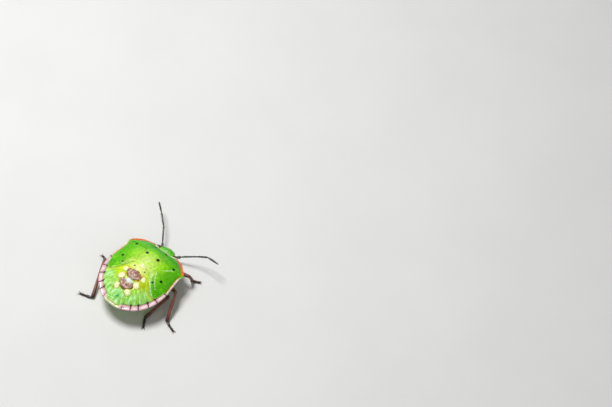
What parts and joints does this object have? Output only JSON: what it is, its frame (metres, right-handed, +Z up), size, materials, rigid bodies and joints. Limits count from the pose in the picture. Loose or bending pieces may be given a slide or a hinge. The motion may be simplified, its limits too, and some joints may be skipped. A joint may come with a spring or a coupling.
{
  "type": "stink bug nymph",
  "caption": "Still, life-size green stink bug nymph of the last instar, standing with its head bent down, feelers spread and a pale spotted back.",
  "frame": {"origin": "on the floor under the middle of the bounding box", "axes": "+Z up, +Y the way the bug faces, +X its right side"},
  "size_m": [0.0104, 0.012, 0.0034],
  "materials": {
    "thorax_shell": "glossy, finely pitted green shell",
    "abdomen_shell": "wet, wrinkled yellow-green skin with cream spots",
    "eye": "glossy dark facets",
    "antenna_shell": "satin blue-black with fine hairs",
    "leg_shell": "satin red-brown with fine hairs"
  },
  "bodies": {
    "root": {"head": "thorax_shell", "pronotum": "thorax_shell", "thorax": "thorax_shell", "abdomen": "abdomen_shell", "rostrum": "leg_shell", "eye_left": "eye", "eye_right": "eye", "antenna_left": "antenna_shell", "antenna_right": "antenna_shell", "leg_front_left": "leg_shell", "leg_front_right": "leg_shell", "leg_mid_left": "leg_shell", "leg_mid_right": "leg_shell", "leg_hind_left": "leg_shell", "leg_hind_right": "leg_shell"}
  },
  "joints": []
}
